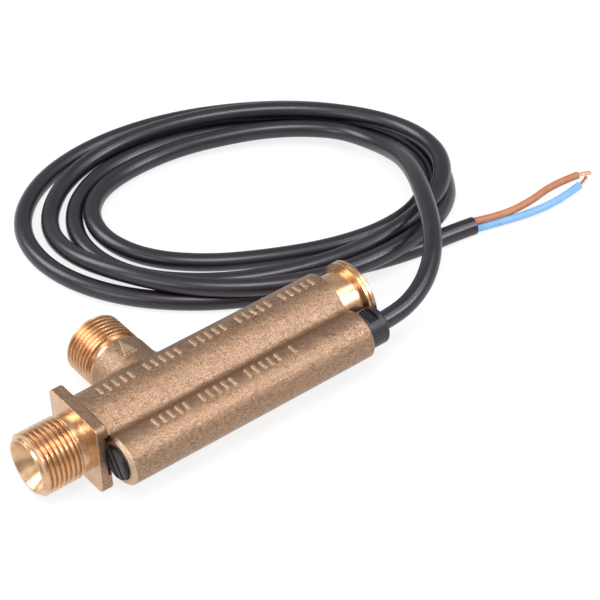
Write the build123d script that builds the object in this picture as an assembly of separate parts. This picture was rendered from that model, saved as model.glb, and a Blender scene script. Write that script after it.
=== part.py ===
from build123d import *
from math import cos, pi, radians, tan
import os

os.makedirs("parts", exist_ok=True)

# Flow switch with a cast brass body, a magnetic piston and a reed switch beside it.
# Units are millimetres. The origin is the centre of the inlet's end face. +X runs along the
# main bore to the end cap, +Y along the side outlet, and +Z up. The switch lies on its flange.

# Pipe threads: G 3/8, parallel
THREAD_MAJOR = 16.662
THREAD_PITCH = 1.337
THREAD_DEPTH = 0.856
THREAD_CREST_SHARE = 0.22
THREAD_END_LENGTH = 0.7
THREAD_END_DROP = 0.18
THREAD_NECK_RISE = 0.35

# Inlet, side outlet and the cone that a union nut's liner seats in
INLET_THREAD_LENGTH = 11.4
INLET_NECK_LENGTH = 2.66
OUTLET_THREAD_LENGTH = 11.0
OUTLET_NECK_LENGTH = 1.3
OUTLET_PLACE = 37.66
PORT_BORE = 8.0
OUTLET_BORE = 9.0
SEAT_CONE_LAND = 0.575
SEAT_CONE_HALF_ANGLE = 30.0

# Casting
FLANGE_PROUD = 0.05
FLANGE_THICKNESS = 3.25
FLANGE_CORNER = 1.6
FLANGE_BACK_EDGE = 0.5
BARREL_SHOULDER = 1.65
OUTLET_ROOT_RISE = 0.17
OUTLET_ROOT_LENGTH = 5.65
OUTLET_ROOT_FILLET = 2.4
VALLEY_FILLET = 2.2

# Raised plain tick marks along the top of each barrel, and the raised flow arrow
TICK_HEIGHT = 0.35
TICK_WIDTH = 0.75
TICK_LENGTH = 2.8
TICK_SPACING = 2.3
TICKS_PER_GROUP = 5
MAIN_TICKS_LEAN = -8.5
MAIN_TICKS_START_GAP = 5.7
MAIN_TICKS_END_GAP = 1.1
REED_TICKS_START_GAP = 11.1
REED_TICKS_LENGTH = 41.5
ARROW_LENGTH = 5.6
ARROW_WIDTH = 3.6
ARROW_HEIGHT = 0.5

# Reed barrel, beside the main barrel
REED_OFFSET_Z = 0.8
REED_WALL = 2.15
REED_BORE = 8.6
REED_MOUTH_CHAMFER = 0.3
REED_EDGE_CHAMFER = 0.8

# Main chamber, neck and cap
SEAT_RECESS_STEP = 0.5
SEAT_RECESS_DEPTH = 1.5
CHAMBER_BORE = 13.0
NECK_WALL = 1.15
NECK_LENGTH = 7.1
CAP_THREAD_STEP = 0.5
CAP_THREAD_LENGTH = 13.7
CAP_THREAD_PITCH = 1.0
CAP_THREAD_DEPTH = 0.55
CAP_RIM_STEP = 1.77
CAP_RIM_THICKNESS = 2.3
CAP_GROOVE_WIDTH = 0.3
CAP_GROOVE_DEPTH = 0.3
CAP_SOCKET_FLATS = 6.0
CAP_SOCKET_DEPTH = 4.6
CAP_POCKET_WALL = 1.3
CAP_POCKET_DEPTH = 4.6

# Piston group
PISTON_TRAVEL = 12.0
PISTON_CLEARANCE = 0.3
PISTON_HEAD_LENGTH = 1.5
HEAD_ROOM = 0.16
STEM_DIAMETER = 3.9
STEM_SHOULDER_DIAMETER = 7.0
STOP_GAP = 0.3
SEAL_GAP = 0.3
SEAL_THICKNESS = 1.2
SEAL_EDGE = 0.6
SEAL_HOLE = 5.0
NOSE_LIP_EDGE = 0.7
NOSE_LIP_LENGTH = 1.0
MAGNET_ROOM = 3.04
MAGNET_LENGTH = 8.0
MAGNET_EDGE = 0.9
WASHER_THICKNESS = 0.8
NUT_FLATS = 7.0
NUT_LENGTH = 3.0
SPRING_WIRE = 0.8
SPRING_ROOM = 0.5
SPRING_TURNS = 8
SPRING_SEAT_THICKNESS = 0.9
SPRING_SEAT_HOLE = 2.0

# Rubber rings
CAP_RING_SECTION = 1.5
REED_RING_SECTION = 0.9
RING_SLACK = 0.04

# Reed switch and its wiring
SWITCH_OFFSET = 2.0
CARRIER_PLUG_GAP = 2.4
CARRIER_POTTING_GAP = 0.8
CARRIER_END_WALL = 2.0
CRIMP_ROOM = 0.2
GLASS_LENGTH = 14.0
GLASS_DIAMETER = 2.1
GLASS_WALL = 0.3
GLASS_END = 2.0
BLADE_WIDTH = 1.0
BLADE_THICKNESS = 0.25
BLADE_OVERLAP = 1.6
BLADE_GAP = 0.15
BLADE_TAIL = 7.0
CRIMP_LENGTH = 4.5
CRIMP_WALL = 0.15
CRIMP_BITE = 2.0
CRIMP_INSIDE_CARRIER = 4.0
CORE_GAP = 0.3
POTTING_LENGTH = 5.0

# Blanking plug and cable gland
PLUG_PROUD = 1.2
PLUG_SHANK_LENGTH = 10.2
PLUG_EDGE = 0.4
PLUG_GROOVE_WIDTH = 0.9
PLUG_GROOVE_DEPTH = 0.5
PLUG_GROOVE_SPACING = 2.6
PLUG_GROOVE_LEAN = 57.0
PLUG_POCKET_DEPTH = 1.3
PLUG_POCKET_ROOM = 0.55
PLUG_POCKET_GAP = 0.2
GLAND_HEAD_STEP = 0.75
GLAND_NECK_GAP = 0.3
GLAND_RIM_GAP = 0.7
GLAND_SHANK_LENGTH = 4.8
HEAD_EDGE = 0.6
GLAND_WINDOW_LENGTH = 3.0
GLAND_WINDOW_WIDTH = 5.2
WEDGE_ROOM = 0.25
WEDGE_TEETH = 3
WEDGE_TOOTH_DEPTH = 0.3
SHANK_CLEARANCE = 0.05

# Cable, its cores and the coil that it lies in
CABLE_DIAMETER = 5.0
CORE_DIAMETER = 2.1
STRAND_DIAMETER = 1.0
STRAND_LENGTH = 4.2
COIL_CENTRE = (111.0, 56.5)
COIL_TURN = -28.5
COIL_INSIDE = {"right": 44.5, "far": 28.0, "left": 44.0, "near": 24.6}
COIL_OUTSIDE = {"right": 54.6, "far": 47.0, "left": 68.0, "near": 45.6}
COIL_HEIGHT = 9.8
COIL_EDGE = 2.0
LEAD_ROUTE = [
    (102.8, -13.5, 0.8),
    (109.6, -12.5, 1.9),
    (116.7, -9.5, 3.7),
    (123.4, -4.0, 5.7),
    (129.6, 4.2, 7.0),
    (134.8, 13.1, 6.9),
    (140.2, 22.6, 5.4),
    (145.4, 33.2, 2.5),
    (149.0, 44.0, -1.5),
    (149.9, 54.4, -5.1),
    (147.8, 63.6, -7.7),
]
TAIL_ROUTE = [
    (112.0, 17.0, -7.7),
    (122.0, 13.6, -7.7),
    (132.4, 11.4, -7.7),
    (142.0, 10.7, -7.7),
    (150.4, 9.2, -7.7),
]
BROWN_ROUTE = [
    (150.4, 9.9, -6.8),
    (157.5, 7.6, -6.5),
    (166.8, 6.4, -7.0),
    (176.9, 7.9, -7.9),
    (185.6, 7.2, -8.6),
]
BLUE_ROUTE = [
    (150.4, 8.9, -8.9),
    (157.0, 6.6, -9.1),
    (165.4, 4.3, -9.15),
    (175.4, 3.4, -9.1),
    (184.2, 4.9, -9.15),
]

# General
HOLE_ROOM = 0.05
QUARTER_TURN = 90.0

# Worked out: casting and neck
THREAD_ROOT = THREAD_MAJOR - 2 * THREAD_DEPTH
SEAT_CONE_MOUTH = THREAD_ROOT - 2 * THREAD_END_DROP - 2 * SEAT_CONE_LAND
OUTLET_ROOT_DIAMETER = THREAD_MAJOR + 2 * OUTLET_ROOT_RISE
BARREL_DIAMETER = OUTLET_ROOT_DIAMETER + 2 * BARREL_SHOULDER
FLANGE_SIDE = BARREL_DIAMETER + 2 * FLANGE_PROUD
TABLE = -FLANGE_SIDE / 2
FLANGE_FACE = INLET_THREAD_LENGTH + INLET_NECK_LENGTH
FLANGE_BACK = FLANGE_FACE + FLANGE_THICKNESS
OUTLET_ROOT_END = BARREL_DIAMETER / 2 + OUTLET_ROOT_LENGTH
OUTLET_REACH = OUTLET_ROOT_END + OUTLET_NECK_LENGTH + OUTLET_THREAD_LENGTH
CAP_THREAD_DIAMETER = CHAMBER_BORE + 2 * CAP_THREAD_STEP
NECK_DIAMETER = CAP_THREAD_DIAMETER + 2 * NECK_WALL
CAP_RIM_DIAMETER = NECK_DIAMETER + 2 * CAP_RIM_STEP
CAP_POCKET_DIAMETER = CAP_THREAD_DIAMETER - 2 * CAP_POCKET_WALL
SEAT_RECESS_DIAMETER = PORT_BORE + 2 * SEAT_RECESS_STEP

# Worked out: the closed piston's head just clears the outlet bore, and its magnet lies past it
HEAD_BACK = OUTLET_PLACE - OUTLET_BORE / 2 - HEAD_ROOM
HEAD_FACE = HEAD_BACK - PISTON_HEAD_LENGTH
SEAL_FACE = HEAD_FACE - SEAL_THICKNESS
SEAT_PLACE = SEAL_FACE - SEAL_GAP
HEAD_DIAMETER = CHAMBER_BORE - 2 * PISTON_CLEARANCE
SEAL_DIAMETER = HEAD_DIAMETER - 2 * SEAL_EDGE
NOSE_LIP_DIAMETER = SEAL_HOLE + 2 * NOSE_LIP_EDGE
MAGNET_DIAMETER = HEAD_DIAMETER - 2 * MAGNET_EDGE
MAGNET_START = OUTLET_PLACE + OUTLET_BORE / 2 + MAGNET_ROOM + WASHER_THICKNESS
MAGNET_END = MAGNET_START + MAGNET_LENGTH
NUT_FACE = MAGNET_END + WASHER_THICKNESS
SPRING_DIAMETER = CAP_POCKET_DIAMETER - 2 * SPRING_ROOM - SPRING_WIRE

# Worked out: the reed switch lies where the magnet comes to, and the barrels end past its wiring
CORE_LIFT = (CORE_DIAMETER + CORE_GAP) / 2
CRIMP_DIAMETER = CORE_DIAMETER + 2 * CRIMP_WALL
CARRIER_SLOT = CRIMP_DIAMETER + 2 * CRIMP_ROOM
GLASS_MIDDLE = MAGNET_START + MAGNET_LENGTH / 2 + PISTON_TRAVEL + SWITCH_OFFSET
GLASS_START = GLASS_MIDDLE - GLASS_LENGTH / 2
GLASS_FINISH = GLASS_MIDDLE + GLASS_LENGTH / 2
BROWN_CRIMP_START = GLASS_START - BLADE_TAIL - CRIMP_LENGTH + CRIMP_BITE
BLUE_CRIMP_START = GLASS_FINISH + BLADE_TAIL - CRIMP_BITE
CARRIER_END = BLUE_CRIMP_START + CRIMP_INSIDE_CARRIER
POTTING_START = CARRIER_END + CARRIER_POTTING_GAP
GLAND_SHANK_START = POTTING_START + POTTING_LENGTH
BARREL_END = GLAND_SHANK_START + GLAND_SHANK_LENGTH
NECK_END = BARREL_END + NECK_LENGTH
CAP_END = NECK_END + CAP_RIM_THICKNESS
CAP_SHANK_START = NECK_END - CAP_THREAD_LENGTH
SPRING_SEAT_FACE = CAP_SHANK_START + CAP_POCKET_DEPTH - SPRING_SEAT_THICKNESS
STEM_END = SPRING_SEAT_FACE - PISTON_TRAVEL - STOP_GAP

# Worked out: the reed barrel stands off so that the gland clears the neck
REED_BARREL_DIAMETER = REED_BORE + 2 * REED_WALL
PLUG_POCKET_FLOOR = FLANGE_BACK - PLUG_POCKET_DEPTH
PLUG_FACE = PLUG_POCKET_FLOOR + PLUG_POCKET_GAP
REED_BARREL_START = PLUG_FACE + PLUG_PROUD
CARRIER_START = REED_BARREL_START + PLUG_SHANK_LENGTH + CARRIER_PLUG_GAP
GLAND_HEAD_DIAMETER = REED_BORE + 2 * GLAND_HEAD_STEP
GLAND_END = NECK_END - GLAND_RIM_GAP
REED_OFFSET_Y = -(NECK_DIAMETER + GLAND_HEAD_DIAMETER) / 2 - GLAND_NECK_GAP


def on_reed_axis(shape):
    """A shape made on the X axis, moved to the reed bore's axis."""
    return Pos(0, REED_OFFSET_Y, REED_OFFSET_Z) * shape


def turned(outline):
    """A solid turned about the X axis from (place along X, radius) points."""
    closed = [(outline[0][0], 0)] + outline + [(outline[-1][0], 0)]
    profile = make_face(Polyline(*closed, close=True))
    return revolve(profile, axis=Axis.X)


def rod(diameter, start, end):
    """A round bar on the X axis."""
    return Pos(start, 0, 0) * Rot(0, 90, 0) * Cylinder(
        diameter / 2, end - start, align=(Align.CENTER, Align.CENTER, Align.MIN))


def tube(outer, inner, start, end):
    """A round bar on the X axis with a hole through it."""
    return rod(outer, start, end) - rod(inner, start, end)


def ring(section, outer):
    """A rubber ring about the X axis, centred on the origin."""
    wire = section / 2 - RING_SLACK
    return Rot(0, 90, 0) * Torus(outer / 2 - wire - RING_SLACK, wire)


def hex_bar(flats, start, end):
    """A hexagonal bar on the X axis."""
    corner = flats / 2 / cos(radians(30))
    section = RegularPolygon(corner, 6)
    return Pos(start, 0, 0) * Rot(0, 90, 0) * extrude(section, amount=end - start)


def ridged_outline(major, depth, pitch, start, end):
    """Points of a thread's ridges, from root to root between two places along X."""
    root = major / 2 - depth
    count = int((end - start) / pitch)
    flat = pitch * THREAD_CREST_SHARE
    slope = (pitch - 2 * flat) / 2
    points = []
    for ridge in range(count):
        place = start + ridge * pitch
        points.append((place, root))
        points.append((place + slope, major / 2))
        points.append((place + slope + flat, major / 2))
        points.append((place + pitch - flat, root))
    return points


def pipe_end(thread_length, neck_length):
    """A male pipe end on the X axis: thread and smooth neck, with its end face at 0."""
    ridges = ridged_outline(
        THREAD_MAJOR, THREAD_DEPTH, THREAD_PITCH, THREAD_END_LENGTH, thread_length)
    neck = THREAD_ROOT / 2 + THREAD_NECK_RISE
    outline = [(0, THREAD_ROOT / 2 - THREAD_END_DROP)] + ridges
    outline += [(thread_length, neck), (thread_length + neck_length, neck)]
    return turned(outline)


def port_bore(bore, depth):
    """The hole in a pipe end: a cone seat at 0, then a straight bore."""
    cone = (SEAT_CONE_MOUTH - bore) / 2 / tan(radians(SEAT_CONE_HALF_ANGLE))
    return turned([(0, SEAT_CONE_MOUTH / 2), (cone, bore / 2), (depth, bore / 2)])


def to_outlet(shape):
    """A shape made from 0 along +X, turned to run from the outlet's end face inwards."""
    return Pos(OUTLET_PLACE, OUTLET_REACH, 0) * Rot(0, 0, -90) * shape


def barrels():
    """The two cast barrels and the outlet's root, with their meeting lines rounded."""
    main = rod(BARREL_DIAMETER, PLUG_POCKET_FLOOR, BARREL_END)
    reed = on_reed_axis(rod(REED_BARREL_DIAMETER, PLUG_POCKET_FLOOR, BARREL_END))
    body = main + reed
    valleys = [
        edge for edge in body.edges().filter_by(Axis.X)
        if REED_OFFSET_Y < edge.center().Y < REED_OFFSET_Y / 4]
    body = fillet(valleys, VALLEY_FILLET)
    root = Pos(OUTLET_PLACE, 0, 0) * Rot(-90, 0, 0) * Cylinder(
        OUTLET_ROOT_DIAMETER / 2, OUTLET_ROOT_END, align=(Align.CENTER, Align.CENTER, Align.MIN))
    body = body + root
    crotch = [
        edge for edge in body.edges().filter_by(GeomType.BSPLINE)
        if abs(edge.center().X - OUTLET_PLACE) < OUTLET_ROOT_DIAMETER and edge.center().Y > 0]
    return fillet(crotch, OUTLET_ROOT_FILLET)


def flange():
    """The square spanner flange behind the inlet thread."""
    plate = Pos(FLANGE_FACE, 0, 0) * Box(
        FLANGE_THICKNESS, FLANGE_SIDE, FLANGE_SIDE, align=(Align.MIN, Align.CENTER, Align.CENTER))
    plate = fillet(plate.edges().filter_by(Axis.X), FLANGE_CORNER)
    return fillet(plate.faces().sort_by(Axis.X)[-1].edges(), FLANGE_BACK_EDGE)


def ticks(start, end, radius):
    """Raised plain tick marks along the top of a barrel, with every sixth one left out."""
    marks = []
    for index in range(int((end - start) / TICK_SPACING) + 1):
        if index % (TICKS_PER_GROUP + 1) == TICKS_PER_GROUP:
            continue
        mark = Box(TICK_WIDTH, TICK_LENGTH, 4 * TICK_HEIGHT)
        lift = radius - TICK_HEIGHT
        marks.append(Pos(start + index * TICK_SPACING, 0, lift) * mark)
    return marks


def flow_arrow():
    """The raised triangle on the outlet's root, which points along the flow."""
    tip = (0, ARROW_LENGTH / 2)
    left = (-ARROW_WIDTH / 2, -ARROW_LENGTH / 2)
    right = (ARROW_WIDTH / 2, -ARROW_LENGTH / 2)
    outline = make_face(Polyline(tip, left, right, close=True))
    middle = (OUTLET_ROOT_END + BARREL_DIAMETER / 2) / 2 - ARROW_LENGTH / 8
    lift = OUTLET_ROOT_DIAMETER / 2 - 2 * ARROW_HEIGHT
    return Pos(OUTLET_PLACE, middle, lift) * extrude(outline, amount=3 * ARROW_HEIGHT)


def reed_end():
    """What is cut away at the reed barrel's left end: the pocket, both chamfers and the bore."""
    pocket = REED_BARREL_DIAMETER + 2 * PLUG_POCKET_ROOM
    cut = rod(pocket, PLUG_POCKET_FLOOR, REED_BARREL_START)
    cut += turned([
        (REED_BARREL_START, REED_BORE / 2 + REED_MOUTH_CHAMFER),
        (REED_BARREL_START + REED_MOUTH_CHAMFER, REED_BORE / 2),
        (BARREL_END, REED_BORE / 2)])
    edge = rod(pocket, REED_BARREL_START, REED_BARREL_START + REED_EDGE_CHAMFER)
    edge -= turned([
        (REED_BARREL_START, REED_BARREL_DIAMETER / 2 - REED_EDGE_CHAMFER),
        (REED_BARREL_START + REED_EDGE_CHAMFER, REED_BARREL_DIAMETER / 2)])
    return on_reed_axis(cut + edge)


def valve_body():
    """The casting with every machined surface."""
    body = barrels() + flange() + pipe_end(INLET_THREAD_LENGTH, INLET_NECK_LENGTH)
    body += to_outlet(pipe_end(OUTLET_THREAD_LENGTH, OUTLET_NECK_LENGTH))
    body += rod(NECK_DIAMETER, BARREL_END, NECK_END)
    main_marks = ticks(
        FLANGE_BACK + MAIN_TICKS_START_GAP, BARREL_END - MAIN_TICKS_END_GAP, BARREL_DIAMETER / 2)
    reed_start = REED_BARREL_START + REED_TICKS_START_GAP
    reed_marks = ticks(reed_start, reed_start + REED_TICKS_LENGTH, REED_BARREL_DIAMETER / 2)
    body += [Rot(MAIN_TICKS_LEAN, 0, 0) * mark for mark in main_marks]
    body += [on_reed_axis(mark) for mark in reed_marks]
    body += flow_arrow()
    body -= port_bore(PORT_BORE, SEAT_PLACE)
    body -= rod(SEAT_RECESS_DIAMETER, SEAT_PLACE - SEAT_RECESS_DEPTH, SEAT_PLACE)
    body -= rod(CHAMBER_BORE, SEAT_PLACE, CAP_SHANK_START)
    body -= rod(CAP_THREAD_DIAMETER, CAP_SHANK_START, NECK_END)
    body -= to_outlet(port_bore(OUTLET_BORE, OUTLET_REACH))
    return body - reed_end()


def end_cap():
    """The screwed cap: rim with a turned groove, threaded shank, spring pocket and key socket."""
    rim = CAP_RIM_DIAMETER / 2
    shank = CAP_THREAD_DIAMETER / 2 - HOLE_ROOM
    groove_start = NECK_END + CAP_RIM_THICKNESS / 3
    ring_start = NECK_END - CAP_RING_SECTION - 1.5 * CAP_THREAD_PITCH
    groove_floor = CAP_THREAD_DIAMETER / 2 - CAP_RING_SECTION
    outline = [(CAP_SHANK_START, shank - CAP_THREAD_DEPTH)]
    outline += ridged_outline(
        2 * shank, CAP_THREAD_DEPTH, CAP_THREAD_PITCH,
        CAP_SHANK_START + CAP_THREAD_PITCH, ring_start - CAP_THREAD_PITCH)
    outline += [
        (ring_start - CAP_THREAD_PITCH / 2, shank),
        (ring_start, shank),
        (ring_start, groove_floor),
        (ring_start + CAP_RING_SECTION, groove_floor),
        (ring_start + CAP_RING_SECTION, shank),
        (NECK_END, shank),
        (NECK_END, rim),
        (groove_start, rim),
        (groove_start, rim - CAP_GROOVE_DEPTH),
        (groove_start + CAP_GROOVE_WIDTH, rim - CAP_GROOVE_DEPTH),
        (groove_start + CAP_GROOVE_WIDTH, rim),
        (CAP_END - CAP_GROOVE_DEPTH, rim),
        (CAP_END, rim - CAP_GROOVE_DEPTH)]
    cap = turned(outline)
    cap -= rod(CAP_POCKET_DIAMETER, CAP_SHANK_START, CAP_SHANK_START + CAP_POCKET_DEPTH)
    return cap - hex_bar(CAP_SOCKET_FLATS, CAP_END - CAP_SOCKET_DEPTH, CAP_END)


def cap_o_ring():
    """The rubber ring in the cap's groove."""
    place = NECK_END - CAP_RING_SECTION / 2 - 1.5 * CAP_THREAD_PITCH
    return Pos(place, 0, 0) * ring(CAP_RING_SECTION, CAP_THREAD_DIAMETER)


def piston():
    """Head, nose lip that holds the seal, and the stem: it carries the magnet and ends as a stop."""
    stem = STEM_DIAMETER / 2
    shoulder = MAGNET_START - WASHER_THICKNESS
    return turned([
        (SEAL_FACE - NOSE_LIP_LENGTH, NOSE_LIP_DIAMETER / 2 - NOSE_LIP_LENGTH / 2),
        (SEAL_FACE - NOSE_LIP_LENGTH / 2, NOSE_LIP_DIAMETER / 2),
        (SEAL_FACE, NOSE_LIP_DIAMETER / 2),
        (SEAL_FACE, SEAL_HOLE / 2),
        (HEAD_FACE, SEAL_HOLE / 2),
        (HEAD_FACE, HEAD_DIAMETER / 2),
        (HEAD_BACK - PISTON_CLEARANCE, HEAD_DIAMETER / 2),
        (HEAD_BACK, HEAD_DIAMETER / 2 - PISTON_CLEARANCE),
        (HEAD_BACK, STEM_SHOULDER_DIAMETER / 2),
        (shoulder, STEM_SHOULDER_DIAMETER / 2),
        (shoulder, stem),
        (STEM_END, stem)])


def piston_seal():
    """The rubber washer that closes on the inlet's seat."""
    return tube(SEAL_DIAMETER, SEAL_HOLE, SEAL_FACE, HEAD_FACE)


def piston_magnet():
    """The ring magnet on the stem."""
    return tube(MAGNET_DIAMETER, STEM_DIAMETER + 2 * HOLE_ROOM, MAGNET_START, MAGNET_END)


def magnet_washers():
    """The two guide washers, one each side of the magnet."""
    hole = STEM_DIAMETER + 2 * HOLE_ROOM
    front = tube(HEAD_DIAMETER, hole, MAGNET_START - WASHER_THICKNESS, MAGNET_START)
    rear = tube(HEAD_DIAMETER, hole, MAGNET_END, NUT_FACE)
    return Compound(children=[front, rear])


def piston_nut():
    """The nut that holds magnet and washers on the stem."""
    nut = hex_bar(NUT_FLATS, NUT_FACE, NUT_FACE + NUT_LENGTH)
    return nut - rod(STEM_DIAMETER + 2 * HOLE_ROOM, NUT_FACE, NUT_FACE + NUT_LENGTH)


def spring_seat():
    """The washer at the bottom of the cap's pocket."""
    end = CAP_SHANK_START + CAP_POCKET_DEPTH
    return tube(CAP_POCKET_DIAMETER - 2 * HOLE_ROOM, SPRING_SEAT_HOLE, SPRING_SEAT_FACE, end)


def return_spring():
    """The coil spring between the rear washer and the spring seat."""
    start = NUT_FACE + SPRING_WIRE / 2
    length = SPRING_SEAT_FACE - NUT_FACE - SPRING_WIRE
    radius = SPRING_DIAMETER / 2
    path = Helix(length / SPRING_TURNS, length, radius)
    section = Plane(origin=path @ 0, z_dir=path % 0) * Circle(SPRING_WIRE / 2)
    return Pos(start, 0, 0) * Rot(0, 90, 0) * sweep(section, path=path)


def core_channel(start, end, side, diameter):
    """A round bar beside the reed bore's axis: side 1 is the upper core, -1 the lower one."""
    return on_reed_axis(Pos(0, 0, side * CORE_LIFT) * rod(diameter, start, end))


def reed_carrier():
    """The plastic bar that holds the reed switch in the bore, open along its top."""
    bar = rod(REED_BORE - 2 * SHANK_CLEARANCE, CARRIER_START, CARRIER_END)
    depth = CORE_LIFT + CORE_DIAMETER / 2 + HOLE_ROOM
    slot = Pos(CARRIER_START + CARRIER_END_WALL, 0, -depth) * Box(
        CARRIER_END, CARRIER_SLOT, REED_BORE, align=(Align.MIN, Align.CENTER, Align.MIN))
    return on_reed_axis(bar - slot)


def blade(start, end, lift):
    """One flat reed blade."""
    strip = Pos(start, 0, CORE_LIFT + lift) * Box(
        end - start, BLADE_WIDTH, BLADE_THICKNESS, align=(Align.MIN, Align.CENTER, Align.CENTER))
    return on_reed_axis(strip)


def reed_blades():
    """The two blades, which overlap with a small gap in the middle of the glass."""
    middle = (GLASS_START + GLASS_FINISH) / 2
    lift = (BLADE_THICKNESS + BLADE_GAP) / 2
    left = blade(GLASS_START - BLADE_TAIL, middle + BLADE_OVERLAP / 2, lift)
    right = blade(middle - BLADE_OVERLAP / 2, GLASS_FINISH + BLADE_TAIL, -lift)
    return Compound(children=[left, right])


def reed_glass():
    """The sealed glass capsule round the blades."""
    capsule = fillet(rod(GLASS_DIAMETER, GLASS_START, GLASS_FINISH).edges(), GLASS_DIAMETER / 5)
    hollow = rod(GLASS_DIAMETER - 2 * GLASS_WALL, GLASS_START + GLASS_END, GLASS_FINISH - GLASS_END)
    glass = on_reed_axis(Pos(0, 0, CORE_LIFT) * (capsule - hollow))
    for strip in reed_blades().solids():
        glass -= strip
    return glass


def brown_crimp():
    """The splice that joins the lower core to the left blade."""
    end = BROWN_CRIMP_START + CRIMP_LENGTH
    block = Pos(BROWN_CRIMP_START, 0, 0) * Box(
        CRIMP_LENGTH, CRIMP_DIAMETER, 2 * CORE_LIFT + CORE_DIAMETER,
        align=(Align.MIN, Align.CENTER, Align.CENTER))
    block = on_reed_axis(fillet(block.edges().filter_by(Axis.X), CRIMP_DIAMETER / 4))
    block -= core_channel(end - CRIMP_BITE, end, -1, CORE_DIAMETER)
    return block - reed_blades().solids()[0]


def blue_crimp():
    """The splice that joins the upper core to the right blade."""
    end = BLUE_CRIMP_START + CRIMP_LENGTH
    sleeve = core_channel(BLUE_CRIMP_START, end, 1, CRIMP_DIAMETER)
    sleeve -= core_channel(end - CRIMP_BITE / 2, end, 1, CORE_DIAMETER)
    return sleeve - reed_blades().solids()[1]


def inner_core(start, side):
    """One insulated core from its crimp to the cable's sheath."""
    return core_channel(start, GLAND_SHANK_START, side, CORE_DIAMETER)


def inner_brown_core():
    """The lower core, to the left blade."""
    return inner_core(BROWN_CRIMP_START + CRIMP_LENGTH - CRIMP_BITE, -1)


def inner_blue_core():
    """The upper core, to the right blade."""
    return inner_core(BLUE_CRIMP_START + CRIMP_LENGTH - CRIMP_BITE / 2, 1)


def reed_potting():
    """The resin plug behind the gland, with the two cores through it."""
    plug = on_reed_axis(rod(REED_BORE - 2 * SHANK_CLEARANCE, POTTING_START, GLAND_SHANK_START))
    for side in (-1, 1):
        plug -= core_channel(POTTING_START, GLAND_SHANK_START, side, CORE_DIAMETER)
    blue_end = BLUE_CRIMP_START + CRIMP_LENGTH
    return plug - core_channel(BLUE_CRIMP_START, blue_end, 1, CRIMP_DIAMETER + 2 * HOLE_ROOM)


def shank_outline(start, end, ring_place):
    """Points of a shank that fits the reed bore, with a groove for its rubber ring."""
    radius = REED_BORE / 2 - SHANK_CLEARANCE
    floor = REED_BORE / 2 - REED_RING_SECTION
    half = REED_RING_SECTION / 2
    return [
        (start, radius), (ring_place - half, radius), (ring_place - half, floor),
        (ring_place + half, floor), (ring_place + half, radius), (end, radius)]


def plug_ring_place():
    """Where the plug's rubber ring sits along X."""
    return REED_BARREL_START + PLUG_SHANK_LENGTH / 2


def blanking_plug():
    """The black plug in the left end of the reed bore, with two grooves across its face."""
    end = REED_BARREL_START + PLUG_SHANK_LENGTH
    plug = turned(shank_outline(PLUG_FACE, end, plug_ring_place()))
    plug = fillet(plug.edges().sort_by(Axis.X)[0], PLUG_EDGE)
    for side in (-1, 1):
        groove = Pos(PLUG_FACE, 0, side * PLUG_GROOVE_SPACING / 2) * Box(
            2 * PLUG_GROOVE_DEPTH, REED_BORE, PLUG_GROOVE_WIDTH)
        plug -= Rot(PLUG_GROOVE_LEAN, 0, 0) * groove
    return on_reed_axis(plug)


def plug_o_ring():
    """The rubber ring round the plug's shank."""
    return on_reed_axis(Pos(plug_ring_place(), 0, 0) * ring(REED_RING_SECTION, REED_BORE))


def gland_ring_place():
    """Where the gland's rubber ring sits along X."""
    return BARREL_END - GLAND_SHANK_LENGTH / 2


def window_start():
    """Where the gland's window starts along X: it lies in the middle of the head."""
    return (BARREL_END + GLAND_END - GLAND_WINDOW_LENGTH) / 2


def window_floor():
    """Height of the gland window's floor above the reed bore's axis."""
    return CABLE_DIAMETER / 2 + HOLE_ROOM


def cable_gland():
    """The black gland: head with a window in its top, shank in the reed bore, hole for the cable."""
    head = rod(GLAND_HEAD_DIAMETER, BARREL_END, GLAND_END)
    head = fillet(head.edges().sort_by(Axis.X)[-1], HEAD_EDGE)
    gland = head + turned(shank_outline(GLAND_SHANK_START, BARREL_END, gland_ring_place()))
    gland -= rod(CABLE_DIAMETER, GLAND_SHANK_START, GLAND_END)
    window = Pos(window_start(), 0, 0) * Box(
        GLAND_WINDOW_LENGTH, GLAND_WINDOW_WIDTH, GLAND_HEAD_DIAMETER,
        align=(Align.MIN, Align.CENTER, Align.MIN))
    return on_reed_axis(gland - window)


def gland_o_ring():
    """The rubber ring round the gland's shank."""
    return on_reed_axis(Pos(gland_ring_place(), 0, 0) * ring(REED_RING_SECTION, REED_BORE))


def gland_wedge():
    """The toothed wedge in the gland's window, which presses on the cable."""
    length = GLAND_WINDOW_LENGTH - 2 * WEDGE_ROOM
    height = GLAND_HEAD_DIAMETER / 2 - window_floor() - 3 * WEDGE_ROOM
    start = window_start() + WEDGE_ROOM
    wedge = Pos(start, 0, window_floor()) * Box(
        length, GLAND_WINDOW_WIDTH - 2 * WEDGE_ROOM, height,
        align=(Align.MIN, Align.CENTER, Align.MIN))
    step = length / WEDGE_TEETH
    for tooth in range(WEDGE_TEETH):
        notch = Pos(start + (tooth + 0.5) * step, 0, window_floor() + height) * Box(
            step / 2, GLAND_WINDOW_WIDTH, 2 * WEDGE_TOOTH_DEPTH)
        wedge -= notch
    return on_reed_axis(wedge)


def sheath_stub():
    """The end of the cable's sheath inside the gland."""
    return on_reed_axis(rod(CABLE_DIAMETER, GLAND_SHANK_START, GLAND_END))


def bend_radii(name, points):
    """The radius of each corner: 0.45 of the shorter run, over the tangent of half the turn."""
    radii = []
    for before, corner, after in zip(points, points[1:], points[2:]):
        run_in = Vector(*corner) - Vector(*before)
        run_out = Vector(*after) - Vector(*corner)
        half_turn = radians(run_in.get_angle(run_out)) / 2
        radii.append(0.45 * min(run_in.length, run_out.length) / tan(half_turn))
    print(name, "radii", [round(radius, 1) for radius in radii])
    return radii


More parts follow.
